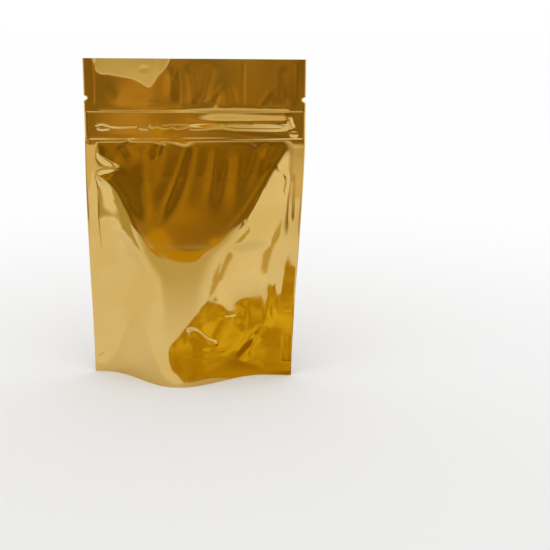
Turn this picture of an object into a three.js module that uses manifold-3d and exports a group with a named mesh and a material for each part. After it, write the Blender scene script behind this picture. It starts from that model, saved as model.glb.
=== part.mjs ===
// An empty stand-up pouch of gold foil laminate, its zip pressed shut, standing on its opened bottom.
// Millimetres, +Z up. The front faces -Y. The origin is the centre of the foot print, on the floor.

import * as THREE from "three";
import Module from "manifold-3d";
import { mergeVertices } from "three/addons/utils/BufferGeometryUtils.js";

// ---- Driving dimensions -------------------------------------------------------------------------

// The flat, unfilled pouch.
const FILM_WIDTH = 130;
const FILM_HEIGHT = 185;
const GUSSET_DEPTH = 42; // from the bottom edge up to the fold of the bottom gusset
const SIDE_SEAL = 6;
const SEALED_THICKNESS = 0.8; // two layers of film with the stiffness of the seal
const NOTCH_RADIUS = 1.5;
const NOTCH_BELOW_TOP = 22.8;

// The zip: two flange edges and the interlocking profile between them.
const UPPER_RIB_BELOW_TOP = 31;
const PROFILE_BELOW_TOP = 38.8;
const LOWER_RIB_BELOW_TOP = 47;
const UPPER_RIB = { halfWidth: 1.3, height: 0.7 };
const PROFILE_RIB = { halfWidth: 1.2, height: 0.9 };
const LOWER_RIB = { halfWidth: 1.6, height: 0.9 };

// How the pouch stands: its side seams lean back in three stretches with soft bends between them.
const FOOT_CHORD = 117.6; // between the side edges, where they meet the floor
const FOOT_LEAN = 8; // degrees
const FOOT_STRETCH = 60; // from the floor to the first bend
const FOOT_BEND = 25; // how far each side of it the first bend reaches
const BODY_LEAN = 12;
const ZIP_BEND = 4;
const HEAD_LEAN = 3.5;

// The front and the back bulge most a little left of the middle.
const CROWN_X = -6;
const FLAT_APEX = 46; // the flat triangle under the zip comes to a point at this height
const FLAT_SPREAD = 0.575; // half its width grows by this much for each millimetre of height
const RIGHT_TACK_MARGIN = 9; // the lower right corner stays flat this much further in
const GATHER = 1.08; // small creases at the corners let the film stand out this much further

// The curved seal of the bottom gusset.
const SKIRT_HEIGHT = 6.5; // of the seal line, in the middle
const SKIRT_RISE = 0.0093; // the seal line rises by this times the square of x

// Soft folds pressed into the front: from one point to another, how deep and how wide.
// A point is [x, height along the film]. A negative depth is a ridge.
const FRONT_FOLDS = [
  { name: "left shoulder fold", from: [-46, 112], to: [-21, 62], depth: 1.3, width: 5 },
  { name: "left flank dent", from: [-57, 118], to: [-48, 106], depth: 1.0, width: 4 },
  { name: "right shoulder fold", from: [45, 128], to: [10, 72], depth: 1.2, width: 5 },
  { name: "right leaf dent", from: [27, 98], to: [9, 66], depth: 1.1, width: 4 },
  { name: "fold under the zip", from: [-9, 130], to: [-22, 98], depth: 0.9, width: 4 },
  { name: "left hump", from: [-39, 124], to: [-30, 84], depth: -0.7, width: 5 },
  { name: "right hump", from: [6, 128], to: [2, 90], depth: -0.7, width: 6 },
  { name: "lower right fold", from: [44, 40], to: [25, 14], depth: 1.0, width: 4 },
];
const BACK_FOLDS = [
  { name: "left shoulder fold", from: [-44, 124], to: [-8, 70], depth: 1.3, width: 5 },
  { name: "right shoulder fold", from: [47, 116], to: [16, 66], depth: 1.2, width: 5 },
  { name: "middle hump", from: [-3, 130], to: [3, 92], depth: -0.8, width: 6 },
  { name: "lower left fold", from: [-42, 44], to: [-20, 18], depth: 0.9, width: 4 },
];

// The finish.
const FOIL_COLOR = 0xc9a04a;
const FOIL_ROUGHNESS = 0.16;
const FOIL_METALNESS = 1;

// ---- Worked out from the above ------------------------------------------------------------------

const RIB_HEIGHTS = [UPPER_RIB_BELOW_TOP, PROFILE_BELOW_TOP, LOWER_RIB_BELOW_TOP]
  .map((below) => FILM_HEIGHT - below);
const [UPPER_RIB_AT, PROFILE_AT, LOWER_RIB_AT] = RIB_HEIGHTS;
const BELLY_TOP = LOWER_RIB_AT - LOWER_RIB.halfWidth;
const EDGE = SEALED_THICKNESS / 2;

const radians = (degrees) => (degrees * Math.PI) / 180;
const clamp01 = (t) => Math.min(1, Math.max(0, t));
const halfCosine = (t) => 0.5 - 0.5 * Math.cos(Math.PI * clamp01(t));

// A ramp that starts at zero, with its corner rounded for this far on each side.
function softRamp(distance, rounding) {
  if (Math.abs(distance) >= rounding) return Math.max(0, distance);
  return (distance + rounding) ** 2 / (4 * rounding);
}

// The side seam: where a point at this height along the film stands, as height and distance back.
function seamAt(height) {
  const above = softRamp(height - FOOT_STRETCH, FOOT_BEND);
  const top = softRamp(height - LOWER_RIB_AT, ZIP_BEND);
  const runs = [
    [height - above, FOOT_LEAN],
    [above - top, BODY_LEAN],
    [top, HEAD_LEAN],
  ];
  return {
    z: runs.reduce((sum, [run, lean]) => sum + run * Math.cos(radians(lean)), 0),
    back: runs.reduce((sum, [run, lean]) => sum + run * Math.sin(radians(lean)), 0),
  };
}

// Half the distance between the side edges: full above the zip, pulled in where the pouch bulges.
function halfChord(height) {
  const t = clamp01(height / BELLY_TOP);
  const pulledIn = 0.55 * halfCosine(1 - t) + 0.45 * (1 - t);
  return (FILM_WIDTH - (FILM_WIDTH - FOOT_CHORD) * pulledIn) / 2;
}

// The bulge of one film in front of the seams. The film doesn't stretch, so the width that the
// side edges have lost fixes how far it can stand out.
function bulge(x, height) {
  if (height >= BELLY_TOP) return 0;
  const half = halfChord(height);
  const t = clamp01(height / BELLY_TOP);
  const crown = CROWN_X * halfCosine(2 * (1 - t));
  const flat = Math.max(0, FLAT_SPREAD * (height - FLAT_APEX));
  const tack = RIGHT_TACK_MARGIN * (1 - clamp01(height / FOOT_STRETCH));
  const leftFlank = Math.max(4, half - SIDE_SEAL + crown - flat);
  const rightFlank = Math.max(4, half - SIDE_SEAL - tack - crown - flat);
  const spare = FILM_WIDTH - 2 * half;
  const tallest = (GATHER * Math.sqrt(4 * spare * (leftFlank + rightFlank))) / Math.PI;
  const inFromLeft = (x + half - SIDE_SEAL) / leftFlank;
  const inFromRight = (half - SIDE_SEAL - tack - x) / rightFlank;
  return tallest * halfCosine(x < crown ? inFromLeft : inFromRight);
}

// How far a point of the film is dented by one fold: a smooth groove that fades out at its ends.
function dent(fold, x, height) {
  const along = [fold.to[0] - fold.from[0], fold.to[1] - fold.from[1]];
  const length2 = along[0] ** 2 + along[1] ** 2;
  const offset = [x - fold.from[0], height - fold.from[1]];
  const t = clamp01((offset[0] * along[0] + offset[1] * along[1]) / length2);
  const away = Math.hypot(offset[0] - t * along[0], offset[1] - t * along[1]);
  const fade = 0.35 + 0.65 * Math.sin(Math.PI * t);
  return fold.depth * fade * Math.exp(-((away / fold.width) ** 2));
}

// A long rounded rib across the film, tapering where it runs into the side seals.
function rib(shape, at, x, height) {
  const t = Math.abs(height - at) / shape.halfWidth;
  const taper = clamp01((FILM_WIDTH / 2 - SIDE_SEAL / 2 - Math.abs(x)) / SIDE_SEAL);
  return t >= 1 ? 0 : shape.height * Math.sqrt(1 - t * t) * taper;
}

// How far the outer face of a film stands out from the plane of the seams.
function standOff(x, height, isBack) {
  const ribs =
    rib(UPPER_RIB, UPPER_RIB_AT, x, height) +
    rib(PROFILE_RIB, PROFILE_AT, x, height) +
    rib(LOWER_RIB, LOWER_RIB_AT, x, height);
  const out = bulge(x, height);
  const folds = isBack ? BACK_FOLDS : FRONT_FOLDS;
  const dents = folds.reduce((sum, fold) => sum + dent(fold, x, height), 0);
  // Folds never reach deeper than the film stands out.
  return EDGE + ribs + Math.max(0.25 * out, out - dents * clamp01(out / 3));
}

// The header and the zip hang in one long shallow wave.
function wave(x, height) {
  const t = clamp01((height - LOWER_RIB_AT) / (FILM_HEIGHT - LOWER_RIB_AT));
  return 1.2 * t * Math.sin((2 * Math.PI * (x + 12)) / FILM_WIDTH) * Math.cos((Math.PI * x) / FILM_WIDTH);
}

function skinPoint(x, height, isBack) {
  const seam = seamAt(height);
  const out = standOff(x, height, isBack);
  return new THREE.Vector3(x, seam.back + wave(x, height) + (isBack ? out : -out), seam.z);
}

// ---- The closed skin ----------------------------------------------------------------------------

// Evenly spaced values from start to end, both included.
function spread(start, end, steps) {
  return Array.from({ length: steps + 1 }, (_, i) => start + ((end - start) * i) / steps);
}

// Heights of the rows: close together over each rib, wider apart over the belly and the header.
function rowHeights() {
  const rows = [...spread(0, BELLY_TOP - 3, 28)];
  const ribs = [[LOWER_RIB_AT, LOWER_RIB], [PROFILE_AT, PROFILE_RIB], [UPPER_RIB_AT, UPPER_RIB]];
  for (const [at, shape] of ribs) {
    rows.push(...[-1, -0.8, -0.35, 0.35, 0.8, 1].map((t) => at + t * shape.halfWidth));
  }
  rows.push(...spread(UPPER_RIB_AT + 4, FILM_HEIGHT, 6));
  return rows;
}

// Places across the film as fractions of half the chord: the side seals, then even columns.
function columnFractions() {
  const seal = 1 - SIDE_SEAL / (FILM_WIDTH / 2);
  return [-1, ...spread(-seal, seal, 30), 1];
}

function closedSkin() {
  const rows = rowHeights();
  const columns = columnFractions();
  const positions = [];
  const grid = [false, true].map((isBack) =>
    rows.map((height) =>
      columns.map((fraction) => {
        const point = skinPoint(fraction * halfChord(height), height, isBack);
        positions.push(point.x, point.y, point.z);
        return positions.length / 3 - 1;
      })
    )
  );
  const triangles = [];
  const quad = (a, b, c, d) => triangles.push(a, b, c, a, c, d);
  const [front, back] = grid;
  const lastRow = rows.length - 1;
  const lastColumn = columns.length - 1;
  for (let r = 0; r < lastRow; r++) {
    for (let c = 0; c < lastColumn; c++) {
      quad(front[r][c], front[r][c + 1], front[r + 1][c + 1], front[r + 1][c]);
      quad(back[r][c + 1], back[r][c], back[r + 1][c], back[r + 1][c + 1]);
    }
    quad(back[r][0], front[r][0], front[r + 1][0], back[r + 1][0]);
    quad(front[r][lastColumn], back[r][lastColumn], back[r + 1][lastColumn], front[r + 1][lastColumn]);
  }
  for (let c = 0; c < lastColumn; c++) {
    quad(back[0][c], back[0][c + 1], front[0][c + 1], front[0][c]);
    quad(front[lastRow][c], front[lastRow][c + 1], back[lastRow][c + 1], back[lastRow][c]);
  }
  return indexedGeometry(positions, triangles);
}

function indexedGeometry(positions, triangles) {
  const geometry = new THREE.BufferGeometry();
  geometry.setAttribute("position", new THREE.Float32BufferAttribute(positions, 3));
  geometry.setIndex(triangles);
  return geometry;
}

// ---- The hollow under the gusset ----------------------------------------------------------------

// The curved seal line, as a height along the film.
const sealLine = (x) => SKIRT_HEIGHT + SKIRT_RISE * x * x;

// The gusset film stands like a tent: from the seal line of one film up to its fold, and down again.
function gussetSection(x) {
  const seal = sealLine(x);
  const inner = (height, isBack) => {
    const out = Math.max(0.3, standOff(x, height, isBack) - SEALED_THICKNESS);
    return seamAt(height).back + (isBack ? out : -out);
  };
  const slope = GUSSET_DEPTH - seal;
  const reach = Math.min(bulge(x, seal), 0.95 * slope);
  const ridgeHeight = seal + Math.sqrt(slope ** 2 - reach ** 2);
  const ridge = seamAt(ridgeHeight);
  return [
    [inner(0, false), -1],
    [inner(seal, false), seamAt(seal).z],
    [ridge.back, ridge.z],
    [inner(seal, true), seamAt(seal).z],
    [inner(0, true), -1],
  ];
}

// The hollow ends where the two films have come together.
function gussetHollow() {
  const end = FOOT_CHORD / 2 - SIDE_SEAL - 5;
  const stations = spread(-end, end - RIGHT_TACK_MARGIN, 24);
  const positions = [];
  const rings = stations.map((x) =>
    gussetSection(x).map(([y, z]) => {
      positions.push(x, y, z);
      return positions.length / 3 - 1;
    })
  );
  const triangles = [];
  const sides = rings[0].length;
  for (let s = 0; s < rings.length - 1; s++) {
    for (let k = 0; k < sides; k++) {
      const n = (k + 1) % sides;
      triangles.push(rings[s][k], rings[s + 1][n], rings[s][n]);
      triangles.push(rings[s][k], rings[s + 1][k], rings[s + 1][n]);
    }
  }
  for (let k = 1; k < sides - 1; k++) {
    triangles.push(rings[0][0], rings[0][k], rings[0][k + 1]);
    triangles.push(rings.at(-1)[0], rings.at(-1)[k + 1], rings.at(-1)[k]);
  }
  return indexedGeometry(positions, triangles);
}

// A half-round tear notch in a side edge, cut straight through.
function notchCutter(side) {
  const height = FILM_HEIGHT - NOTCH_BELOW_TOP;
  const seam = seamAt(height);
  const cutter = new THREE.CylinderGeometry(NOTCH_RADIUS, NOTCH_RADIUS, 8, 16);
  return cutter.translate(side * halfChord(height), seam.back, seam.z);
}

// ---- Cutting and placing ------------------------------------------------------------------------

const wasm = await Module();
wasm.setup();

function toSolid(geometry) {
  const bare = geometry.clone();
  bare.deleteAttribute("normal");
  bare.deleteAttribute("uv");
  const merged = mergeVertices(bare, 1e-4);
  const mesh = new wasm.Mesh({
    numProp: 3,
    vertProperties: new Float32Array(merged.attributes.position.array),
    triVerts: new Uint32Array(merged.index.array),
  });
  return new wasm.Manifold(mesh);
}

function toGeometry(solid) {
  const mesh = solid.getMesh();
  const geometry = indexedGeometry(Array.from(mesh.vertProperties), Array.from(mesh.triVerts));
  geometry.computeVertexNormals();
  return geometry;
}

// The middle of the box in X and Y goes to the origin.
function centred(geometry) {
  geometry.computeBoundingBox();
  const { min, max } = geometry.boundingBox;
  return geometry.translate(-(min.x + max.x) / 2, -(min.y + max.y) / 2, 0);
}

const foil = new THREE.MeshStandardMaterial({
  color: FOIL_COLOR,
  roughness: FOIL_ROUGHNESS,
  metalness: FOIL_METALNESS,
});

const solid = toSolid(closedSkin())
  .subtract(toSolid(gussetHollow()))
  .subtract(toSolid(notchCutter(-1)))
  .subtract(toSolid(notchCutter(1)));

const pouch = new THREE.Mesh(centred(toGeometry(solid)), foil);
pouch.name = "pouch";

const group = new THREE.Group();
group.add(pouch);

export default group;
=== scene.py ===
from math import cos, exp, pi, radians, sin

import bmesh
import bpy
import numpy as np
from mathutils import Matrix, Vector


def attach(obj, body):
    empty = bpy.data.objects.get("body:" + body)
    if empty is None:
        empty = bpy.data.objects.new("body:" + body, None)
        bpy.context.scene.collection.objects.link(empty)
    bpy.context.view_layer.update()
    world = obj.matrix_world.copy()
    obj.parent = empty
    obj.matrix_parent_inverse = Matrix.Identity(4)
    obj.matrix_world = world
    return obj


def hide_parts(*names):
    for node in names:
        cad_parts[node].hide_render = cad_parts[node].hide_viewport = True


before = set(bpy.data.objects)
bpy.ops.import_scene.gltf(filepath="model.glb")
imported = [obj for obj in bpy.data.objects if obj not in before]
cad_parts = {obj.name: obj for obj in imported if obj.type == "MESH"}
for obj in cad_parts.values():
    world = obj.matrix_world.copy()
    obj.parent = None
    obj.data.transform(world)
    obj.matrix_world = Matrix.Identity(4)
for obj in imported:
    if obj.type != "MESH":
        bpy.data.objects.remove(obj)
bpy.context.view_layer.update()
MM = 0.001

# ---- The film's shape: millimetres, x across, h along the film from the floor ---------------------

FILM_WIDTH = 130.0
FILM_HEIGHT = 185.0
FILM = 0.3  # from the plane of the seams to the outer face of one film
SIDE_SEAL = 6.0
GUSSET_DEPTH = 42.0
ZIP_BOTTOM = 138.0
BELLY_TOP = ZIP_BOTTOM - 1.6
FOOT_CHORD = 117.6  # straight across the opened foot, from edge to edge
FOOT_CURVE = 0.55  # the share of the narrowing towards the foot that runs in an S
FOOT_LEAN, BODY_LEAN, HEAD_LEAN = 8.0, 12.0, 3.5  # backwards, in degrees
FOOT_STRETCH, FOOT_BEND, ZIP_BEND = 60.0, 25.0, 4.0
CENTRE_Y = -2.363  # where the seams meet the floor, from the middle of the CAD box

RIGHT_TACK_MARGIN = 9.0  # how much wider the flat edge is at the foot of the right seal
GATHER = 1.08  # how far the belly stands out, against an even wave of the same film
ZIP_REACH = 40.0  # how far down the zip holds the belly flat
SLIMMEST_FLANK, SLIMMEST_CURL, SLIMMEST_BELLY = 3.0, 2.2, 10.0
WAVE_DEPTH, WAVE_SHIFT = 1.2, 12.0
FOLD_REACH = 3.1  # a fold ends this many widths from its path

# The flat panel under the zip hangs in a U between two flanks. Its sides: [height, x].
PANEL_LEFT = [
    (44, -6), (56, -8), (64, -11), (70, -15), (75, -20.5), (82, -26), (90, -32),
    (100, -38.5), (108, -43), (114, -46.5), (118, -50), (124, -51), (137, -52),
]
PANEL_RIGHT = [
    (44, -6), (56, -4), (64, -1), (70, 3), (76, 9), (82, 18), (92, 28),
    (103, 35.5), (112, 40.5), (122, 46), (130, 51), (137, 52),
]

# At the left shoulder that side curls: a dark wedge under a bright crescent. [height, offset].
SHOULDER = [
    (104, 0), (109, -1), (112, -2.6), (114, -4.4), (116, -6.6), (117.4, -7.4), (118.4, -5),
    (119.4, 2), (120.6, 8), (122, 9), (124, 6), (126.6, 0), (129, -4), (133, -6), (137, -6),
]
NO_CURL = [(0, 0), (200, 0)]


def clamp01(t):
    return np.clip(t, 0.0, 1.0)


def half_cosine(t):
    return 0.5 - 0.5 * np.cos(pi * clamp01(t))


def smooth(t):
    t = clamp01(t)
    return t * t * (3 - 2 * t)


def soft_ramp(distance, rounding):
    corner = (distance + rounding) ** 2 / (4 * rounding)
    return np.where(np.abs(distance) >= rounding, np.maximum(0, distance), corner)


def curve_through(points, per_span=8):
    """A smooth open curve through the points, as a dense array."""
    p = np.array(points, float)
    p = np.vstack([2 * p[0] - p[1], p, 2 * p[-1] - p[-2]])
    t = np.linspace(0, 1, per_span, endpoint=False)[:, None]
    spans = [
        0.5 * (2 * b + (c - a) * t + (2 * a - 5 * b + 4 * c - d) * t**2 + (3 * b - 3 * c + d - a) * t**3)
        for a, b, c, d in zip(p[:-3], p[1:-2], p[2:-1], p[3:])
    ]
    return np.vstack(spans + [p[-2:-1]])


def read_off(points, at):
    """The second coordinate of the curve through the points, at this first coordinate."""
    curve = curve_through(points)
    return np.interp(at, curve[:, 0], curve[:, 1])


def seam_at(h):
    """Where a point of the side seam stands: its height above the floor, and how far back."""
    above_foot = soft_ramp(h - FOOT_STRETCH, FOOT_BEND)
    above_zip = soft_ramp(h - ZIP_BOTTOM, ZIP_BEND)
    runs = [(h - above_foot, FOOT_LEAN), (above_foot - above_zip, BODY_LEAN), (above_zip, HEAD_LEAN)]
    z = sum(run * cos(radians(lean)) for run, lean in runs)
    back = sum(run * sin(radians(lean)) for run, lean in runs)
    return z, back


def half_chord(h):
    """Half the straight distance between the two edges of the film."""
    t = clamp01(h / BELLY_TOP)
    pulled_in = FOOT_CURVE * half_cosine(1 - t) + (1 - FOOT_CURVE) * (1 - t)
    return (FILM_WIDTH - (FILM_WIDTH - FOOT_CHORD) * pulled_in) / 2


def off_the_edge(x, h, over):
    """0 at the two edges of the film, growing to 1 over this distance."""
    return smooth((half_chord(h) - np.abs(x)) / over)


def bulge(x, h, left=PANEL_LEFT, right=PANEL_RIGHT, shoulder=SHOULDER):
    """The belly: it rises over a flank from each side seal, up to the panel's edge."""
    half = half_chord(h)
    tack = RIGHT_TACK_MARGIN * (1 - clamp01(h / FOOT_STRETCH))
    left_flank = np.maximum(SLIMMEST_FLANK, half - SIDE_SEAL + read_off(left, h))
    right_flank = np.maximum(SLIMMEST_FLANK, half - SIDE_SEAL - tack - read_off(right, h))
    spare = FILM_WIDTH - 2 * half
    width = np.maximum(SLIMMEST_BELLY, left_flank + right_flank)
    tallest = GATHER * np.sqrt(4 * spare * width) / pi
    curl = np.where(h > shoulder[0][0], read_off(shoulder, h), 0)
    in_from_left = (x + half - SIDE_SEAL) / np.maximum(SLIMMEST_CURL, left_flank + curl)
    in_from_right = (half - SIDE_SEAL - tack - x) / right_flank
    out = tallest * half_cosine(np.minimum(in_from_left, in_from_right))
    held = clamp01((BELLY_TOP - h) / ZIP_REACH)
    return out * np.sqrt(1 - (1 - held) ** 2)


def wave(x, h):
    """The header and the zip hang in one long shallow wave."""
    t = clamp01((h - ZIP_BOTTOM) / (FILM_HEIGHT - ZIP_BOTTOM))
    along = np.sin(2 * pi * (x + WAVE_SHIFT) / FILM_WIDTH) * np.cos(pi * x / FILM_WIDTH)
    return WAVE_DEPTH * t * along


def measure(path, x, h):
    """Distance from the path (positive on its left), and how far along it, from 0 to 1."""
    best = np.full(x.shape, np.inf)
    side = np.ones(x.shape)
    along = np.zeros(x.shape)
    lengths = np.hypot(*np.diff(path, axis=0).T)
    start = np.concatenate([[0], np.cumsum(lengths)])
    for (ax, ah), (bx, bh), length, begun in zip(path[:-1], path[1:], lengths, start):
        ux, uh = (bx - ax) / length, (bh - ah) / length
        run = np.clip((x - ax) * ux + (h - ah) * uh, 0, length)
        dx, dh = x - ax - run * ux, h - ah - run * uh
        away = dx * dx + dh * dh
        near = away < best
        best = np.where(near, away, best)
        side = np.where(near, np.sign(ux * dh - uh * dx), side)
        along = np.where(near, begun + run, along)
    return np.sqrt(best) * side, along / start[-1]


def fold(x, h, points, rise, width, other=None, crisp=False, fade=0.35, fade_out=None):
    """A ridge (or, with a negative rise, a crease) along a path. Width is on the path's left,
    other on its right; a crisp fold has a sharp edge. It fades in and out at its two ends, over
    these shares of its length."""
    other = width if other is None else other
    fade_out = fade if fade_out is None else fade_out
    path = curve_through(points, per_span=6)
    reach = FOLD_REACH * max(width, other)
    low, high = path.min(0) - reach, path.max(0) + reach
    near = (x > low[0]) & (x < high[0]) & (h > low[1]) & (h < high[1])
    out = np.zeros(x.shape)
    if near.any():
        away, along = measure(path, x[near], h[near])
        scaled = np.abs(away) / np.where(away > 0, width, other)
        profile = np.exp(-scaled) - exp(-FOLD_REACH) if crisp else np.exp(-(scaled**2))
        profile = np.where(scaled > FOLD_REACH, 0, profile)
        out[near] = rise * profile * smooth(along / fade) * smooth((1 - along) / fade_out)
    return out


def add_folds(folds, x, h):
    return sum(fold(x, h, **one) for one in folds)


def hill(x, h, centre, rise, size):
    """A soft rounded rise around a centre [x, h], of a size across and a size up."""
    away = ((x - centre[0]) / size[0]) ** 2 + ((h - centre[1]) / size[1]) ** 2
    return rise * np.exp(-away)


# ---- The folds of the front -----------------------------------------------------------------------

# The film left of and above this line is bent back a little, and catches the light: [x, h].
HEADER_PATCH = [
    (-62, 190), (-58.5, 183), (-57, 177.6), (-54, 175.8), (-49.9, 175.5), (-42.9, 174.4), (-36, 173),
    (-32.4, 171.2), (-26.9, 168.2), (-23.7, 170), (-20.4, 175.2), (-17, 179), (-14.5, 183), (-12, 190),
]
PATCH_FROM, PATCH_TO, PATCH_FADE = -62.0, -10.0, 4.0
PATCH_SLOPE, PATCH_ROUNDING = 0.105, 0.5

HEADER_HILLS = [
    dict(centre=(-45, 164.5), rise=0.2, size=(6.0, 6.5)),
    dict(centre=(-26, 161), rise=0.14, size=(6.5, 4.5)),
]
HEADER_FOLDS = [
    # soft upright folds, from left to right
    dict(points=[(-14, 158), (-13.5, 169), (-12, 182)], rise=0.2, width=3.0, fade=0.4),
    dict(points=[(-8.6, 157), (-8.4, 168), (-8.8, 182)], rise=-0.05, width=0.8, fade=0.2),
    dict(points=[(-7.8, 154.6), (-7.0, 157), (-6.8, 160)], rise=0.16, width=2.0, fade=0.3, fade_out=0.5),
    dict(points=[(-2, 156), (-1, 166), (-3, 183)], rise=0.1, width=2.6, fade=0.25),
    dict(points=[(5, 157), (7, 168), (11, 183)], rise=-0.12, width=3.0, fade=0.25),
    dict(points=[(12.6, 156), (12.8, 161), (14.5, 166)], rise=-0.12, width=1.5, fade=0.4),
    dict(points=[(17, 156), (19, 163), (16, 172)], rise=0.05, width=2.6, fade=0.3),
    dict(points=[(2, 158), (11, 163), (18, 172)], rise=0.04, width=1.3, fade=0.3),
    dict(points=[(24, 157), (23, 164), (21, 170)], rise=-0.04, width=1.8, fade=0.3),
    dict(points=[(29, 156), (28.8, 168), (29.2, 184)], rise=-0.05, width=0.7, fade=0.15),
    dict(points=[(37, 156), (43, 165), (47, 171)], rise=0.05, width=1.6, fade=0.3),
    dict(points=[(41, 156), (42, 159), (45, 163)], rise=-0.04, width=1.2, fade=0.3),
    dict(points=[(54, 157), (53, 168), (51, 183)], rise=-0.12, width=3.0, fade=0.25),
    # the small dent in the pale patch
    dict(points=[(-32.5, 178), (-29, 179.4), (-25.4, 178.4)], rise=-0.06, width=1.2, fade=0.4),
    # the inner lines of the side seals
    dict(points=[(-59.5, 157), (-59.2, 170), (-59.6, 184)], rise=0.05, width=0.8, fade=0.1),
    dict(points=[(59.5, 157), (59.3, 170), (59.6, 184)], rise=0.05, width=0.8, fade=0.1),
]

ZIP_FOLDS = [
    # the closed profile shows through the film as broken lines, from left to right
    dict(
        points=[(-58.4, 146.1), (-56.8, 147.4), (-53.8, 147.6), (-50.6, 146.5)],
        rise=0.16, width=0.32, other=0.7, fade=0.1,
    ),
    dict(
        points=[(-57.7, 145.3), (-55.1, 144.5), (-50.3, 145.0)],
        rise=0.16, width=0.32, other=0.7, fade=0.1,
    ),
    dict(
        points=[(-51.2, 146.5), (-45.5, 146.0), (-40.2, 146.2), (-33.4, 146.5)],
        rise=0.16, width=0.32, other=0.7, fade=0.05,
    ),
    dict(
        points=[(-32.4, 145.5), (-29.6, 145.0), (-26.7, 145.2)],
        rise=0.18, width=0.34, other=0.8, fade=0.15,
    ),
    dict(
        points=[
            (-27, 147.4), (-24.8, 146.0), (-21.8, 146.5), (-18.3, 145.5), (-15.5, 145.6),
            (-13.0, 146.3), (-10.1, 145.3), (-6.6, 146.0), (-4.2, 146.8),
        ],
        rise=0.17, width=0.34, other=0.7, fade=0.03,
    ),
    dict(points=[(-19, 146.8), (-11.8, 147.6), (-2.2, 147.6)], rise=0.15, width=0.3, fade=0.1),
    dict(
        points=[(-3.1, 145.2), (2.2, 145.1), (6.9, 145.4), (11.0, 146.0), (15.2, 146.7)],
        rise=0.16, width=0.32, other=0.7, fade=0.05,
    ),
    dict(
        points=[
            (17.4, 146.7), (20.9, 147.8), (29.8, 148.0), (33.8, 147.7),
            (37.3, 148.4), (44.3, 148.2), (48.5, 147.8), (53.9, 146.8),
        ],
        rise=0.16, width=0.32, other=0.7, fade=0.04,
    ),
    dict(
        points=[(17.4, 146.4), (23.9, 145.4), (35.6, 145.3), (45.5, 145.3), (50.2, 145.6), (53.9, 146.6)],
        rise=0.18, width=0.32, other=0.7, fade=0.04,
    ),
    # two pinches at its right end
    dict(points=[(55.2, 152.5), (56.3, 149), (57.8, 146)], rise=0.6, width=1.2, fade=0.2),
    dict(points=[(55.2, 142.6), (58.5, 142.8), (61.5, 142.2)], rise=0.2, width=1.6, fade=0.25),
    # the swell over its right half
    dict(
        points=[(-14, 148.6), (20, 148.6), (58, 148.6)],
        rise=0.6, width=4.4, other=2.6, fade=0.4, fade_out=0.08,
    ),
]

PANEL_FOLDS = [
    # rays that fan out downwards from the zip
    dict(points=[(-42, 137), (-37.5, 130), (-36, 122)], rise=0.3, width=4.0, fade=0.15, fade_out=0.5),
    dict(points=[(-29.5, 137), (-29, 120), (-27, 98)], rise=0.25, width=5.5, fade=0.15, fade_out=0.5),
    dict(points=[(-20, 137), (-22, 131), (-21, 126)], rise=-0.25, width=2.6, fade=0.1, fade_out=0.5),
    dict(
        points=[(-4.5, 139), (-10.6, 117), (-18, 97), (-23, 86)],
        rise=-0.44, width=4.4, other=6.5, fade=0.1, fade_out=0.35,
    ),
    dict(points=[(1.5, 137), (-1, 118), (-8, 92)], rise=0.16, width=5.5, fade=0.15, fade_out=0.4),
    dict(points=[(14.5, 137), (12, 120), (9, 98)], rise=0.14, width=3.5, fade=0.2, fade_out=0.5),
    dict(points=[(20, 136), (19, 115), (16, 92)], rise=-0.3, width=5.0, fade=0.2, fade_out=0.4),
    dict(points=[(37, 137), (33, 120), (26, 103)], rise=-0.2, width=4.0, fade=0.15, fade_out=0.5),
    dict(points=[(45, 137), (43, 131), (42, 126)], rise=0.15, width=2.4, fade=0.1, fade_out=0.5),
    # the edges of the panel
    dict(points=[(49.5, 130), (40, 113), (29, 96), (16, 83)], rise=0.14, width=2.6, other=1.6, fade=0.25),
    dict(
        points=[(-52, 121), (-46, 114), (-38, 103), (-31, 93), (-28, 89)],
        rise=-0.5, width=5.5, other=10, fade=0.15, fade_out=0.45,
    ),
]

FLANK_FOLDS = [
    # the pleat across the left seal, over the bright crescent
    dict(
        points=[(-61, 130), (-52, 128.2), (-47, 125), (-44.5, 121)],
        rise=0.24, width=6.0, other=3.0, fade=0.45, fade_out=0.3,
    ),
    # the leaf on the left flank
    dict(
        points=[(-57, 91.4), (-50, 91.6), (-42, 90)],
        rise=0.6, width=4.6, other=1.6, fade=0.5, fade_out=0.3,
    ),
    dict(
        points=[(-48, 89), (-41, 85), (-34, 78), (-27, 69), (-21, 58)],
        rise=1.15, width=6.5, other=2.0, fade=0.2, fade_out=0.35,
    ),
    # a faint long line down the left flank
    dict(points=[(-46.6, 66), (-46, 46), (-45.3, 26)], rise=-0.12, width=1.2, fade=0.3),
    # thin creases on the right flank
    dict(points=[(53.2, 106), (54.9, 114.6), (53.6, 119.6), (47.6, 124.4)], rise=0.3, width=1.1, fade=0.2),
    dict(points=[(42.2, 112.5), (36.8, 102.0), (32.6, 93.6), (35.3, 85.6)], rise=0.25, width=0.9, fade=0.2),
    dict(points=[(58.4, 120), (57.9, 106), (57.5, 90)], rise=0.2, width=0.9, fade=0.2),
    dict(points=[(41.5, 90.6), (44.5, 92), (47.4, 94.4)], rise=-0.12, width=1.2, fade=0.4),
]

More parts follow.
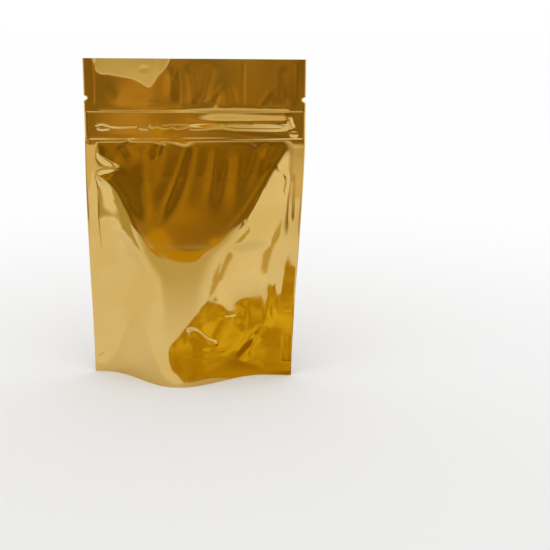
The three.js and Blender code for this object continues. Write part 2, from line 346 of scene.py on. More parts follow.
LOWER_FOLDS = [
    # the curled pinch: a ridge with a groove along it
    dict(
        points=[(0.4, 31.0), (3.0, 32.0), (5.9, 30.4), (9.0, 27.2), (12.6, 24.4), (17.0, 22.6)],
        rise=1.0, width=1.25, fade=0.04, fade_out=0.1,
    ),
    dict(
        points=[(1.6, 31.3), (3.2, 31.6), (5.9, 30.2), (9.0, 27.1), (12.6, 24.3), (15.5, 23.2)],
        rise=-0.8, width=0.55, fade=0.1,
    ),
    # short ripples above and below the pinch
    dict(points=[(17.0, 38.6), (23.3, 37.2), (28.8, 37.6)], rise=0.3, width=0.8, fade=0.3),
    dict(points=[(4, 20.4), (14.1, 19.2), (23, 18.6)], rise=0.3, width=0.7, fade=0.3),
    dict(points=[(-6, 17.6), (4, 16.4), (16, 16.2)], rise=0.16, width=0.7, fade=0.3),
    dict(points=[(-8, 14.4), (3, 13.0), (14, 13.4)], rise=0.16, width=0.7, fade=0.3),
    # the crease towards the right foot, and the ridge beside it
    dict(
        points=[(44, 31), (38.6, 23.4), (33.4, 16.6), (28, 10)],
        rise=-1.1, width=4.2, other=3.0, fade=0.35,
    ),
    dict(points=[(38, 25), (31, 19), (25, 13)], rise=0.4, width=3.0, fade=0.3),
    # upright folds beside the right seal
    dict(
        points=[(45.5, 57.5), (44.5, 46), (44.6, 36), (43.6, 28)],
        rise=-0.35, width=2.4, other=2.0, fade=0.3,
    ),
    dict(points=[(50.2, 62), (49.2, 48), (47, 34)], rise=0.22, width=1.8, fade=0.3),
    # short marks across the side seals
    dict(points=[(54.1, 40.0), (59.2, 40.0)], rise=0.25, width=0.5, fade=0.15),
    dict(points=[(-57.4, 7.2), (-53.0, 11.4)], rise=-0.25, width=0.6, fade=0.3),
    # two broad swells above the pinch
    dict(points=[(13, 50), (22, 42), (30, 33)], rise=0.35, width=4.0, fade=0.3),
    dict(points=[(30, 48), (33, 36), (30, 26)], rise=-0.4, width=4.0, fade=0.3),
]
FRONT_FOLDS = ZIP_FOLDS + PANEL_FOLDS + FLANK_FOLDS + LOWER_FOLDS

# The zip's flange lies between two lines, where the film flares out and then falls back.
UPPER_LINE = dict(
    points=[(-64, 155.0), (-52, 154.9), (0, 155.3), (62, 156.1)],
    rise=0.17, width=1.3, other=6.0, crisp=True, fade=0.08,
)
LOWER_LINE = dict(
    points=[(-65, 136.8), (-57, 136.9), (0, 138.0), (62, 139.3)],
    rise=0.3, width=3.0, other=12.0, crisp=True, fade=0.03, fade_out=0.6,
)
FLANGE, FLANGE_STEP = 0.12, 1.2

SEAL_HOLD, HEADER_HOLD = 2.5, 3.0  # how far in from the edge the folds have their full height
HEADER_FREE_FROM, HEADER_FREE_OVER = 155.5, 6.0  # the header bends only above the zip's band
BELLY_LIFT = 2.6  # the belly starts this much higher on the right
LIFT_FROM, LIFT_OVER = 100.0, 36.0

# The tack seal low on the right side seal: its inner side, its foot and top, its depth and step.
TACK_SIDE, TACK_FOOT, TACK_TOP = 53.4, 8.8, 24.0
TACK_DEPTH, TACK_STEP = 0.25, 0.8


def zip_flange(x, h):
    """The band of the zip: a low step between the two lines, with a crisp edge at each."""
    above = (read_off(UPPER_LINE["points"], x) - h) / FLANGE_STEP
    below = (h - read_off(LOWER_LINE["points"], x)) / FLANGE_STEP
    return FLANGE * smooth(above) * smooth(below) + add_folds([UPPER_LINE, LOWER_LINE], x, h)


def header_bend(x, h):
    """How far the two films of the header, pressed together, bend forward of their plane."""
    above = soft_ramp(h - read_off(HEADER_PATCH, x), PATCH_ROUNDING)
    across = smooth((x - PATCH_FROM) / PATCH_FADE) * smooth((PATCH_TO - x) / PATCH_FADE)
    free = smooth((h - HEADER_FREE_FROM) / HEADER_FREE_OVER) * off_the_edge(x, h, HEADER_HOLD)
    hills = sum(hill(x, h, **one) for one in HEADER_HILLS)
    return (hills + add_folds(HEADER_FOLDS, x, h)) * free - PATCH_SLOPE * above * across


def tack_patch(x, h):
    """The flat patch at the right seal, pressed in when the bottom was sealed."""
    inside = np.minimum.reduce([x - TACK_SIDE, h - TACK_FOOT, TACK_TOP - h])
    return -TACK_DEPTH * smooth(inside / TACK_STEP + 0.5)


def front_out(x, h):
    """How far the front's outer face stands in front of the plane of the seams."""
    lift = BELLY_LIFT * (x / FILM_WIDTH + 0.5) * smooth((h - LIFT_FROM) / LIFT_OVER)
    folds = add_folds(FRONT_FOLDS, x, h) + zip_flange(x, h) + tack_patch(x, h)
    return FILM + bulge(x, h - lift) + folds * off_the_edge(x, h, SEAL_HOLD)


# ---- The folds of the back ------------------------------------------------------------------------

# The panel of the back is the front's, seen from behind, without the curled shoulder.
BACK_PANEL_LEFT = [(h, -x) for h, x in PANEL_RIGHT]
BACK_PANEL_RIGHT = [(h, -x) for h, x in PANEL_LEFT]

BACK_FOLDS = [
    # the panel's left edge, its rays, and its right edge
    dict(points=[(-44, 137), (-36, 118), (-24, 96), (-8, 74)], rise=-0.7, width=3.4, other=2.2, fade=0.2),
    dict(points=[(-30, 137), (-26, 120), (-17, 100)], rise=0.4, width=4.5, fade=0.15, fade_out=0.4),
    dict(points=[(-12, 137), (-9, 118), (-4, 95)], rise=-0.5, width=4.0, fade=0.15, fade_out=0.4),
    dict(points=[(3, 137), (3, 120), (2, 98)], rise=0.4, width=4.5, fade=0.15, fade_out=0.4),
    dict(points=[(18, 137), (14, 118), (9, 95)], rise=-0.45, width=4.0, fade=0.15, fade_out=0.4),
    dict(points=[(34, 137), (28, 122), (20, 104)], rise=0.4, width=3.6, fade=0.15, fade_out=0.4),
    dict(points=[(47, 134), (40, 116), (29, 98), (16, 80)], rise=-0.5, width=2.2, other=3.4, fade=0.2),
    # dents on the flanks
    dict(points=[(57, 112), (50, 104), (41, 98)], rise=-0.6, width=1.6, other=3.0, fade=0.25),
    dict(points=[(-55, 92), (-47, 84), (-38, 80)], rise=-0.5, width=2.6, other=1.4, fade=0.25),
    dict(points=[(-44, 44), (-36, 32), (-24, 20)], rise=-0.7, width=2.4, other=3.4, fade=0.25),
    dict(points=[(20, 44), (31, 36), (38, 24)], rise=-0.5, width=2.0, other=3.0, fade=0.25),
    # soft upright folds of the header
    dict(points=[(-40, 157), (-36, 166), (-38, 178)], rise=0.14, width=4.5, fade=0.15, fade_out=0.5),
    dict(points=[(-16, 157), (-15, 168), (-17, 184)], rise=-0.14, width=2.4, fade=0.15),
    dict(points=[(8, 157), (10, 168), (9, 180)], rise=0.12, width=3.5, fade=0.15, fade_out=0.5),
    dict(points=[(36, 157), (34, 170), (37, 184)], rise=-0.14, width=2.8, fade=0.15),
    # the closed profile of the zip
    dict(points=[(-58, 146.2), (-20, 146.0), (20, 146.3), (57, 146.2)], rise=0.5, width=0.7, fade=0.05),
]


def back_out(x, h):
    """How far the back's outer face stands behind the plane of the seams."""
    folds = add_folds(BACK_FOLDS, x, h) + zip_flange(x, h)
    belly = bulge(x, h, BACK_PANEL_LEFT, BACK_PANEL_RIGHT, NO_CURL)
    return FILM + belly + folds * off_the_edge(x, h, SEAL_HOLD)


# ---- Meshes ---------------------------------------------------------------------------------------

NOTCH_AT = FILM_HEIGHT - 22.8
NOTCH_DEPTH, NOTCH_HALF_HEIGHT, NOTCH_ROWS = 2.2, 1.5, 13
NOTCH_PULL = 20  # how fast a notch's pull on the rows dies out away from the edge
FILM_THICKNESS = 0.2
EDGE_THICKNESS = 0.12  # of one film, at its cut edge
EDGE_ROUNDING = 0.008  # the share of the half width over which it thins out to that
EDGE_CROWDING = 0.12  # how much closer the columns stand towards the edges
SKIRT_HEIGHT, SKIRT_RISE = 6.5, 0.0093  # the skirt's seal arches up towards the sides
SEAM_GAP, RIDGE_GAP = 0.04, 0.02  # between the inside of a film and the plane of the seams
FLATTEST_ARCH = 0.95  # the most that the skirt opens, against the gusset's slope
FRONT_COLUMNS, BACK_COLUMNS = 200, 150
SHARP_ANGLE = 60.0

# Rows of the outer face, closest across the zip: from, to, step.
ROW_BANDS = [(0, 130, 0.85), (130, 143.2, 0.3), (143.2, 149.6, 0.16), (149.6, 157, 0.3), (157, 184.6, 0.8)]
TOP_ROWS = [FILM_HEIGHT - 0.25, FILM_HEIGHT]
CLOSEST_ROWS = 0.06

# Rows of the inner face: shares of the skirt and of the gusset's arch, then heights.
SKIRT_SHARES = (0.5, 1.0)
ARCH_SHARES = (0.12, 0.3, 0.5, 0.7, 0.88, 1.0)
INNER_HEIGHTS = (50, 90, *np.arange(ZIP_BOTTOM, FILM_HEIGHT, 1.5), FILM_HEIGHT)


def row_heights():
    notch = NOTCH_AT + NOTCH_HALF_HEIGHT * np.sin(np.linspace(-pi / 2, pi / 2, NOTCH_ROWS))
    rows = np.concatenate([*(np.arange(*band) for band in ROW_BANDS), notch, TOP_ROWS])
    rows = np.unique(np.round(rows, 3))
    keep = np.append(np.diff(rows) > CLOSEST_ROWS, True)
    return rows[keep]


def edge_at(u, h):
    """x of a point, with the half-round tear notches cut into both edges."""
    into = NOTCH_DEPTH * np.sqrt(np.maximum(0, 1 - ((h - NOTCH_AT) / NOTCH_HALF_HEIGHT) ** 2))
    return u * (half_chord(h) - into * np.abs(u) ** NOTCH_PULL)


class Film:
    """One half of the pouch, from its outer face to the plane of the seams. Its points are given
    by u, from -1 at the left edge to 1 at the right, and by h."""

    def __init__(self, out, toward):
        self.out = out  # how far the outer face stands out, as a function of x and h
        self.toward = toward  # -1 for the front, +1 for the back

    def place(self, x, h, out):
        z, back = seam_at(h)
        y = back + wave(x, h) - header_bend(x, h) + self.toward * out + CENTRE_Y
        return np.stack([x, y, z], -1) * MM

    def outer(self, u, h):
        x = edge_at(u, h)
        into_edge = np.maximum(0, np.abs(u) - (1 - EDGE_ROUNDING)) / EDGE_ROUNDING
        rounding = np.sqrt(np.maximum(0, 1 - into_edge**2))
        return self.place(x, h, EDGE_THICKNESS + (self.out(x, h) - EDGE_THICKNESS) * rounding)

    def skirt(self, foot_x, h):
        """How far the inside of the film stands out, straight above a point of the rim."""
        x = foot_x * half_chord(h) / half_chord(0)
        return np.maximum(SEAM_GAP, self.out(x, h) - FILM_THICKNESS)

    def inner(self, u):
        """Rows of the inside: the rim, the skirt up to its seal, the gusset, and the seam plane."""
        zero = np.zeros(len(u))
        foot_x = edge_at(u, zero)
        seal = SKIRT_HEIGHT + SKIRT_RISE * foot_x**2
        at_seal = self.skirt(foot_x, seal)
        slope = GUSSET_DEPTH - seal
        ridge = seal + np.sqrt(slope**2 - np.minimum(at_seal, FLATTEST_ARCH * slope) ** 2)
        rows = [(zero, self.skirt(foot_x, zero))]
        rows += [(seal * share, self.skirt(foot_x, seal * share)) for share in SKIRT_SHARES]
        rows += [(seal + (ridge - seal) * share, RIDGE_GAP + at_seal * (1 - share)) for share in ARCH_SHARES]
        rows += [(zero + height, zero + SEAM_GAP) for height in INNER_HEIGHTS]
        return np.array([self.place(edge_at(u, h), h, out) for h, out in rows])


def stitch(first, second, heights_first, heights_second):
    """Triangles between two chains of vertices that start and end side by side."""
    faces = []
    a = b = 0
    while a < len(first) - 1 or b < len(second) - 1:
        second_done = b == len(second) - 1
        first_done = a == len(first) - 1
        if second_done or (not first_done and heights_first[a + 1] <= heights_second[b + 1]):
            faces.append((first[a], first[a + 1], second[b]))
            a += 1
        else:
            faces.append((first[a], second[b + 1], second[b]))
            b += 1
    return faces


def grid_faces(grid):
    a, b = grid[:-1, :-1].ravel(), grid[:-1, 1:].ravel()
    c, d = grid[1:, 1:].ravel(), grid[1:, :-1].ravel()
    return np.stack([a, b, c, d], 1).tolist()


def new_object(name, vertices, faces):
    mesh = bpy.data.meshes.new(name)
    mesh.from_pydata(np.array(vertices).tolist(), [], faces)
    item = bpy.data.objects.new(name, mesh)
    bpy.context.scene.collection.objects.link(item)
    return item


def film_mesh(name, film, columns):
    """The film as one closed mesh: outer face, inner face, and the strips that join their rims."""
    crowded = np.sin(np.linspace(-pi / 2, pi / 2, columns))
    u_line = EDGE_CROWDING * crowded + (1 - EDGE_CROWDING) * np.linspace(-1, 1, columns)
    u, h = np.meshgrid(u_line, row_heights())
    outer = film.outer(u, h)
    inner = film.inner(u_line)
    vertices = np.vstack([outer.reshape(-1, 3), inner.reshape(-1, 3)])
    outer_grid = np.arange(u.size).reshape(u.shape)
    inner_grid = u.size + np.arange(len(inner) * columns).reshape(len(inner), columns)
    faces = grid_faces(outer_grid) + grid_faces(inner_grid[::-1])
    faces += grid_faces(np.stack([inner_grid[0], outer_grid[0]]))
    faces += grid_faces(np.stack([outer_grid[-1], inner_grid[-1]]))
    for column in (0, -1):
        faces += stitch(
            outer_grid[:, column].tolist(),
            inner_grid[:, column].tolist(),
            outer[:, column, 2],
            inner[:, column, 2],
        )
    piece = new_object(name, vertices, faces)
    work = bmesh.new()
    work.from_mesh(piece.data)
    bmesh.ops.recalc_face_normals(work, faces=work.faces)
    work.to_mesh(piece.data)
    work.free()
    piece.data.shade_smooth()
    piece.data.set_sharp_from_angle(angle=radians(SHARP_ANGLE))
    return piece


# ---- Node helpers ---------------------------------------------------------------------------------


class Nodes:
    """Short ways to add shader nodes to one tree."""

    def __init__(self, tree):
        self.tree = tree
        self.tree.nodes.clear()

    def add(self, kind, inputs=(), **settings):
        node = self.tree.nodes.new(kind)
        for key, value in settings.items():
            setattr(node, key, value)
        for key, value in dict(inputs).items():
            if isinstance(value, bpy.types.NodeSocket):
                self.tree.links.new(value, node.inputs[key])
            else:
                node.inputs[key].default_value = value
        return node

    def place(self):
        return self.add("ShaderNodeTexCoord").outputs["Object"]

    def split(self, vector):
        return self.add("ShaderNodeSeparateXYZ", {0: vector}).outputs

    def math(self, operation, *values):
        return self.add("ShaderNodeMath", dict(enumerate(values)), operation=operation).outputs[0]

    def distance(self, vector, centre):
        node = self.add("ShaderNodeVectorMath", {0: vector, 1: centre}, operation="DISTANCE")
        return node.outputs["Value"]

    def stretch(self, vector, scale):
        return self.add("ShaderNodeMapping", {"Vector": vector, "Scale": scale}).outputs[0]

    def ramp(self, value, start, end, low=0.0, high=1.0):
        inputs = {"Value": value, "From Min": start, "From Max": end, "To Min": low, "To Max": high}
        node = self.add("ShaderNodeMapRange", inputs, interpolation_type="SMOOTHSTEP")
        return node.outputs["Result"]

    def band(self, value, fade_in, fade_out):
        """1 between two ramps, the first up and the second down."""
        return self.math("MULTIPLY", self.ramp(value, *fade_in), self.ramp(value, *fade_out, 1.0, 0.0))

    def mix(self, share, first, second):
        node = self.add("ShaderNodeMix", {0: share}, data_type="RGBA")
        for key, value in ((6, first), (7, second)):
            if isinstance(value, bpy.types.NodeSocket):
                self.tree.links.new(value, node.inputs[key])
            else:
                node.inputs[key].default_value = (*value, 1.0)
        return node.outputs[2]

    def noise(self, vector, scale, detail=2.0):
        inputs = {"Vector": vector, "Scale": scale, "Detail": detail}
        return self.add("ShaderNodeTexNoise", inputs).outputs["Fac"]

    def bump(self, height, strength, distance, normal=None):
        inputs = {"Height": height, "Strength": strength, "Distance": distance}
        if normal is not None:
            inputs["Normal"] = normal
        return self.add("ShaderNodeBump", inputs).outputs[0]

    def surface(self, shader):
        self.add("ShaderNodeOutputMaterial", {"Surface": shader})


def new_material(name):
    material = bpy.data.materials.new(name)
    material.use_nodes = True
    return material, Nodes(material.node_tree)


# ---- The foil -------------------------------------------------------------------------------------

GOLD = (0.70, 0.475, 0.15)
GOLD_DEEP = (0.66, 0.43, 0.115)
# painted shade inside the pressed-in tack seal, and deeper painted shade along its rim
TACK_PAINTED_SHADE = (0.50, 0.30, 0.07)
TACK_RIM_PAINTED_SHADE = (0.26, 0.13, 0.02)
CLOUD_SCALE, RIPPLE_SCALE, GRAIN_SCALE = 28.0, 120.0, 900.0
SMOOTHEST, ROUGHEST, PRESSED_ROUGHER = 0.075, 0.115, 0.12
# The tack seal on the standing pouch, in metres: its inner side, its foot and top, its rim, and
# the depth at which the front ends.
MARK_SIDE, MARK_FOOT, MARK_TOP = 0.0531, 0.0084, 0.0238
MARK_EDGE, MARK_RIM = 0.0005, 0.0013
FRONT_ENDS = (-0.002, 0.0)


def foil_material():
    material, nodes = new_material("gold_foil")
    place = nodes.place()
    x, y, z = nodes.split(place)
    cloud = nodes.noise(place, CLOUD_SCALE, detail=3.0)
    colour = nodes.mix(nodes.ramp(cloud, 0.35, 0.7), GOLD, GOLD_DEEP)
    roughness = nodes.ramp(cloud, 0.3, 0.75, SMOOTHEST, ROUGHEST)

    # duller where the tack seal was pressed, and darker there in painted shade of its recess, with a deeper
    # painted shade along its inner rim
    from_side = nodes.math("SUBTRACT", x, MARK_SIDE)
    from_foot = nodes.math("SUBTRACT", z, MARK_FOOT)
    from_top = nodes.math("SUBTRACT", MARK_TOP, z)
    inside = nodes.math("MINIMUM", nodes.math("MINIMUM", from_side, from_foot), from_top)
    in_front = nodes.ramp(y, *FRONT_ENDS, 1.0, 0.0)
    # tack: the seal's area, for the painted shade of its recess in colour and its real dulling in roughness;
    # rim: a band inside its edge, for deeper painted shade
    tack = nodes.math("MULTIPLY", nodes.ramp(inside, 0.0, MARK_EDGE), in_front)
    rim = nodes.math("MULTIPLY", tack, nodes.ramp(inside, MARK_EDGE, MARK_RIM, 1.0, 0.0))
    colour = nodes.mix(tack, colour, TACK_PAINTED_SHADE)
    colour = nodes.mix(rim, colour, TACK_RIM_PAINTED_SHADE)
    roughness = nodes.math("ADD", roughness, nodes.math("MULTIPLY", tack, PRESSED_ROUGHER))

    grain = nodes.bump(nodes.noise(place, GRAIN_SCALE), strength=0.35, distance=0.00001)
    ripple = nodes.bump(nodes.noise(place, RIPPLE_SCALE), strength=0.5, distance=0.00004, normal=grain)
    inputs = {
        "Base Color": colour,
        "Roughness": roughness,
        "Normal": ripple,
        "Metallic": 1.0,
        "Coat Weight": 0.12,
        "Coat Roughness": 0.06,
        "Coat IOR": 1.5,
    }
    nodes.surface(nodes.add("ShaderNodeBsdfPrincipled", inputs).outputs[0])
    return material


# ---- The pieces -----------------------------------------------------------------------------------

foil = foil_material()
front = film_mesh("film_front", Film(front_out, -1), FRONT_COLUMNS)
back = film_mesh("film_back", Film(back_out, +1), BACK_COLUMNS)
for piece in (front, back):
    piece.data.materials.append(foil)
    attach(piece, "root")
    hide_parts("pouch")

# ---- The studio -----------------------------------------------------------------------------------

FRAME_WIDTH_PX = 550
FOCAL_PX = 925
SENSOR_MM = 36.0
CAMERA_AT = (0.0760, -0.5196, 0.2005)
CAMERA_TURN, CAMERA_PITCH, CAMERA_ROLL = -2.98, 15.0, 0.30  # degrees

WHITE = (0.95, 0.95, 0.95)
WARM_WHITE = (0.70, 0.64, 0.43)
BROWN_LOW = (0.486, 0.29, 0.048)
BROWN_HIGH = (0.40, 0.229, 0.015)
BROWN_OLIVE = (0.36, 0.27, 0.02)
STRIP = (0.90, 0.80, 0.58)
STRIP_HIGH = (0.66, 0.59, 0.36)
OLIVE = (0.56, 0.49, 0.21)
ORANGE = (0.64, 0.39, 0.0)
AMBER = (0.88, 0.66, 0.035)
AMBER_DEEP = (0.52, 0.32, 0.004)
DARK_BROWN = (0.34, 0.18, 0.004)
BRONZE = (0.66, 0.53, 0.19)
SOFTBOX_STRENGTH = 2.5
# painted shade of the floor around the pouch, and its pale colour further away
FLOOR_PAINTED_SHADE = (0.855, 0.855, 0.85)
FLOOR_FAR = (0.985, 0.985, 0.985)
ROOM_STRENGTH = 1.06

# Sizes of the set, in metres.
FLOOR_REACH = 40.0
FLOOR_SHADE_CENTRE, FLOOR_SHADE_FADES = (0.0, -0.25, 0.0), (0.1, 0.8)
SOFTBOX_SIDE, SOFTBOX_NEAR, SOFTBOX_FAR, SOFTBOX_HEIGHT = 0.5, -0.9, -0.1, 2.2

# Upright cards in front of the pouch, near and far, in millimetres: [x, height].
NEAR_Y, FAR_Y = -60.0, -200.0
CARD_GAP = 0.4  # between cards that stand behind each other, and under the ones that lie flat
WHITE_CARD = [
    (-300, -5), (-300, 80), (-176, 94), (-97, 106), (-88, 100), (-84, 78), (-82, 138), (-42, 138),
    (-32, 128), (-20, 116), (-13, 112), (-6, 115), (2, 123), (9, 132), (17, 137), (36, 131), (43, 118),
    (61, 122), (61, 70), (56, 74), (53, 81), (50, 81), (47, 76), (46, -5),
]
ORANGE_CARD = [
    (-42, 138), (-34, 146), (-20, 132), (-13, 128), (-6, 130), (4, 138), (17, 137), (9, 130), (-13, 105),
]
AMBER_CARD = [
    (-9, 6), (-25, 8.5), (-35, 13), (-38, 20), (-34, 24), (-9, 32), (5, 38), (20, 44), (35, 49),
    (48, 53), (66, 48), (80, 42), (98, 34), (130, 40), (300, 40), (300, -5), (20, -5),
]
BRONZE_CARD = [(160, 68), (152, 84), (140, 108), (152, 126), (178, 116), (200, 98), (198, 76), (186, 68)]
FAR_WHITE_CARD = [(60, 45), (60, 125), (125, 125), (143, 104), (152, 84), (157, 64), (150, 45)]
FAR_AMBER_CARD = [(38, 46), (44, 60), (45, 99), (50, 96), (62, 86), (66, 60), (64, 46)]

# Cards that lie on the floor beside and behind the pouch: [x, y].
AMBER_FLOOR_CARD = [(24, -27), (10, -45), (14, -60), (180, -140), (200, 0), (24, 0)]
BROWN_FLOOR_CARD = [(-170, 100), (-60, 62), (110, 105), (220, 260), (70, 420), (-200, 320)]

# Where the cards change colour, in metres on the card.
DEEP_LEFT, DEEP_LOW, DRIFT = (0.04, 0.075), (0.018, 0.03), (1.0, 1.0, 2.5)
SMEAR_AT, SMEAR_FADES = (0.066, -0.014, 0.0), (0.006, 0.032)
WARM_AT, WARM_FADES, WARM_RISES = -0.015, (0.03, 0.06), (0.015, 0.090)

# The dark side of the room is part of a far sphere. Its areas are given in degrees across and up,
# each by the range in which it fades in and the one in which it fades out.
ROOM_RADIUS, ROOM_STEPS = 1.5, 30
ROOM_ACROSS, ROOM_UP = (-88, 50), (-1, 76)
BROWN_ACROSS, BROWN_UP = [(-38, -28), (14, 24)], [(0, 1.5), (46, 54)]
OLIVE_ACROSS, OLIVE_UP = [(-82, -72), (-34, -24)], [(8, 13), (44, 52)]
STRIP_UP, STRIP_TURNS, STRIP_WEAKENS = [(15, 18), (23.5, 27.5)], (19.5, 22), (-2, 10)
BROWN_TURNS = (13, 33)
LIGHT_AT, LIGHT_LEFT, LIGHT_RIGHT, LIGHT_ADDS = -12, 6.0, 4.5, 0.48
TONE_LOW, TONE_HIGH, TONE_STREAKS, TONE_DRIFT = 0.64, 0.62, 0.17, (1.0, 1.0, 0.5)


def add_camera():
    data = bpy.data.cameras.new("camera")
    data.sensor_width = SENSOR_MM
    data.lens = FOCAL_PX / FRAME_WIDTH_PX * SENSOR_MM
    data.clip_start, data.clip_end = 0.01, 50.0
    camera = bpy.data.objects.new("camera", data)
    bpy.context.scene.collection.objects.link(camera)
    turn, pitch, roll = radians(CAMERA_TURN), radians(CAMERA_PITCH), radians(CAMERA_ROLL)
    forward = Vector((sin(turn) * cos(pitch), cos(turn) * cos(pitch), -sin(pitch)))
    level = Vector((cos(turn), -sin(turn), 0))
    upright = level.cross(forward)
    right = cos(roll) * level + sin(roll) * upright
    up = cos(roll) * upright - sin(roll) * level
    axes = Matrix((right, up, -forward)).transposed().to_4x4()
    camera.matrix_world = Matrix.Translation(CAMERA_AT) @ axes
    bpy.context.scene.camera = camera


def emission(nodes, colour, opacity=None, strength=1.0):
    """Light of this colour; clear where opacity is 0."""
    light = nodes.add("ShaderNodeEmission", {"Color": colour, "Strength": strength}).outputs[0]
    if opacity is not None:
        clear = nodes.add("ShaderNodeBsdfTransparent").outputs[0]
        light = nodes.add("ShaderNodeMixShader", {0: opacity, 1: clear, 2: light}).outputs[0]
    nodes.surface(light)


def reflected(name, vertices, faces):
    """Something in the room that shows only in reflections, and the nodes of its material."""
    item = new_object(name, vertices, faces)
    item.visible_camera = False
    item.visible_diffuse = False
    item.visible_shadow = False
    item.visible_transmission = False
    item.visible_volume_scatter = False
    material, nodes = new_material(name)
    item.data.materials.append(material)
    return nodes


def card(name, outline, colour, y=None):
    """An upright card at this y, or else one that lies flat. Its colour is plain, or a function
    that works it out from the place on the card."""
    if y is None:
        vertices = [(x * MM, depth * MM, CARD_GAP * MM) for x, depth in outline]
    else:
        vertices = [(x * MM, y * MM, z * MM) for x, z in outline]
    nodes = reflected(name, vertices, [tuple(range(len(outline)))])
    emission(nodes, colour(nodes, nodes.place()) if callable(colour) else (*colour, 1.0))


def amber(nodes, place):
    """Deeper low on the left, and in drifting patches everywhere."""
    x, _, z = nodes.split(place)
    drifting = nodes.noise(nodes.stretch(place, DRIFT), scale=28.0, detail=3.0)
    patches = nodes.ramp(drifting, 0.64, 0.43, 0.0, 0.95)
    left = nodes.ramp(x, *DEEP_LEFT, 0.8, 0.0)
    low = nodes.ramp(z, *DEEP_LOW, 1.0, 0.0)
    share = nodes.math("MAXIMUM", patches, nodes.math("MULTIPLY", left, low))
    return nodes.mix(share, AMBER, AMBER_DEEP)


def smeared_amber(nodes, place):
    """Amber with a soft dark smear around one place on the floor."""
    smear = nodes.ramp(nodes.distance(place, SMEAR_AT), *SMEAR_FADES, 1.0, 0.0)
    return nodes.mix(smear, amber(nodes, place), DARK_BROWN)


def warming_white(nodes, place):
    """White, warmer high in the middle of the card."""
    x, _, z = nodes.split(place)
    off_middle = nodes.math("ABSOLUTE", nodes.math("SUBTRACT", x, WARM_AT))
    middle = nodes.ramp(off_middle, *WARM_FADES, 1.0, 0.0)
    high = nodes.ramp(z, *WARM_RISES)
    return nodes.mix(nodes.math("MULTIPLY", middle, high), WHITE, WARM_WHITE)


def patchy_brown(nodes, place):
    """Brown and white in large soft patches."""
    patches = nodes.ramp(nodes.noise(place, scale=9.0), 0.42, 0.58)
    return nodes.mix(patches, BROWN_LOW, WHITE)


def dark_room(name, facing):
    """The unlit side of the room, before the front (1) or behind the back (-1)."""
    azimuths = np.radians(np.linspace(*ROOM_ACROSS, ROOM_STEPS))
    heights = np.radians(np.linspace(*ROOM_UP, ROOM_STEPS))
    vertices = [
        (ROOM_RADIUS * sin(a) * cos(e), -facing * ROOM_RADIUS * cos(a) * cos(e), ROOM_RADIUS * sin(e))
        for e in heights
        for a in azimuths
    ]
    grid = np.arange(ROOM_STEPS**2).reshape(ROOM_STEPS, ROOM_STEPS)
    nodes = reflected(name, vertices, grid_faces(grid))
    place = nodes.place()
    x, y, z = nodes.split(place)
    math, ramp, mix = nodes.math, nodes.ramp, nodes.mix
    to_degrees = 180 / pi
    azimuth = math("MULTIPLY", math("ARCTAN2", x, math("MULTIPLY", y, -facing)), to_degrees)
    elevation = math("MULTIPLY", math("ARCSINE", math("DIVIDE", z, ROOM_RADIUS)), to_degrees)

    # the brown middle, lit from a little left of it, with soft upright streaks
    spread = ramp(azimuth, LIGHT_AT - 0.5, LIGHT_AT + 0.5, LIGHT_LEFT, LIGHT_RIGHT)
    off_light = math("DIVIDE", math("SUBTRACT", azimuth, LIGHT_AT), spread)
    lit = math("EXPONENT", math("MULTIPLY", math("MULTIPLY", off_light, off_light), -1.0))
    tone = math("ADD", math("MULTIPLY", lit, LIGHT_ADDS), ramp(elevation, *BROWN_TURNS, TONE_LOW, TONE_HIGH))
    upright = nodes.noise(nodes.stretch(place, TONE_DRIFT), scale=11.0, detail=3.0)
    tone = math("ADD", tone, ramp(upright, 0.36, 0.64, -TONE_STREAKS, TONE_STREAKS))
    brown = mix(ramp(elevation, *BROWN_TURNS), BROWN_LOW, BROWN_HIGH)
    brown = mix(ramp(nodes.noise(place, scale=8.0), 0.5, 0.66, 0.0, 0.6), brown, BROWN_OLIVE)
    brown = nodes.add("ShaderNodeVectorMath", {0: brown, "Scale": tone}, operation="SCALE").outputs[0]

    # a pale strip across it, weaker on the right
    strip = math("MULTIPLY", nodes.band(elevation, *STRIP_UP), ramp(azimuth, *STRIP_WEAKENS, 1.0, 0.7))
    middle = mix(strip, brown, mix(ramp(elevation, *STRIP_TURNS), STRIP, STRIP_HIGH))

    # and an olive part on its left
    core = math("MULTIPLY", nodes.band(azimuth, *BROWN_ACROSS), nodes.band(elevation, *BROWN_UP))
    side = math("MULTIPLY", nodes.band(azimuth, *OLIVE_ACROSS), nodes.band(elevation, *OLIVE_UP))
    opacity = math("MAXIMUM", core, side)
    share = math("DIVIDE", core, math("MAXIMUM", opacity, 0.001))
    emission(nodes, mix(share, OLIVE, middle), opacity)


def rectangle(left, right, near, far, height):
    return [(left, near, height), (right, near, height), (right, far, height), (left, far, height)]


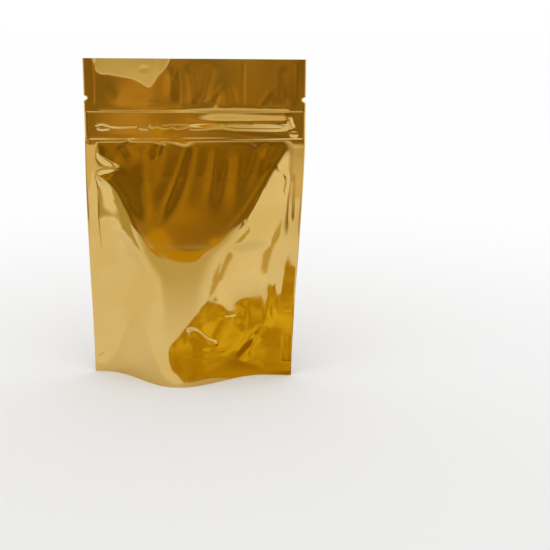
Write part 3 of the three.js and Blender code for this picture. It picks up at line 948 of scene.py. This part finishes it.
def softbox():
    """A bright panel overhead, for the lights along the zip's lines and the creases."""
    corners = rectangle(-SOFTBOX_SIDE, SOFTBOX_SIDE, SOFTBOX_NEAR, SOFTBOX_FAR, SOFTBOX_HEIGHT)
    nodes = reflected("softbox", corners, [(0, 1, 2, 3)])
    emission(nodes, (1.0, 1.0, 1.0, 1.0), strength=SOFTBOX_STRENGTH)


def floor():
    """A wide pale floor, with painted shade that makes it a little darker around the pouch."""
    corners = rectangle(-FLOOR_REACH, FLOOR_REACH, -FLOOR_REACH, FLOOR_REACH, 0.0)
    item = new_object("floor", corners, [(0, 1, 2, 3)])
    material, nodes = new_material("floor")
    # painted shade: darker around a point in front of the pouch, paling to the far colour
    away = nodes.distance(nodes.place(), FLOOR_SHADE_CENTRE)
    colour = nodes.mix(nodes.ramp(away, *FLOOR_SHADE_FADES), FLOOR_PAINTED_SHADE, FLOOR_FAR)
    nodes.surface(nodes.add("ShaderNodeBsdfDiffuse", {"Color": colour}).outputs[0])
    item.data.materials.append(material)


def pale_room():
    """Even pale light from all around."""
    world = bpy.data.worlds.new("room")
    world.use_nodes = True
    nodes = Nodes(world.node_tree)
    inputs = {"Color": (*WHITE, 1.0), "Strength": ROOM_STRENGTH}
    light = nodes.add("ShaderNodeBackground", inputs).outputs[0]
    nodes.add("ShaderNodeOutputWorld", {"Surface": light})
    bpy.context.scene.world = world


add_camera()
floor()
pale_room()
dark_room("dark_room", 1)
dark_room("dark_room_behind", -1)
card("orange_card", ORANGE_CARD, ORANGE, y=NEAR_Y - CARD_GAP)
card("white_card", WHITE_CARD, warming_white, y=NEAR_Y)
card("amber_card", AMBER_CARD, amber, y=NEAR_Y + CARD_GAP)
card("bronze_card", BRONZE_CARD, BRONZE, y=FAR_Y)
card("far_white_card", FAR_WHITE_CARD, WHITE, y=FAR_Y + CARD_GAP)
card("far_amber_card", FAR_AMBER_CARD, amber, y=FAR_Y + 2 * CARD_GAP)
card("amber_floor_card", AMBER_FLOOR_CARD, smeared_amber)
card("brown_floor_card", BROWN_FLOOR_CARD, patchy_brown)
softbox()
bpy.context.scene.view_settings.view_transform = "Standard"
bpy.context.scene.view_settings.look = "None"

bpy.context.view_layer.update()
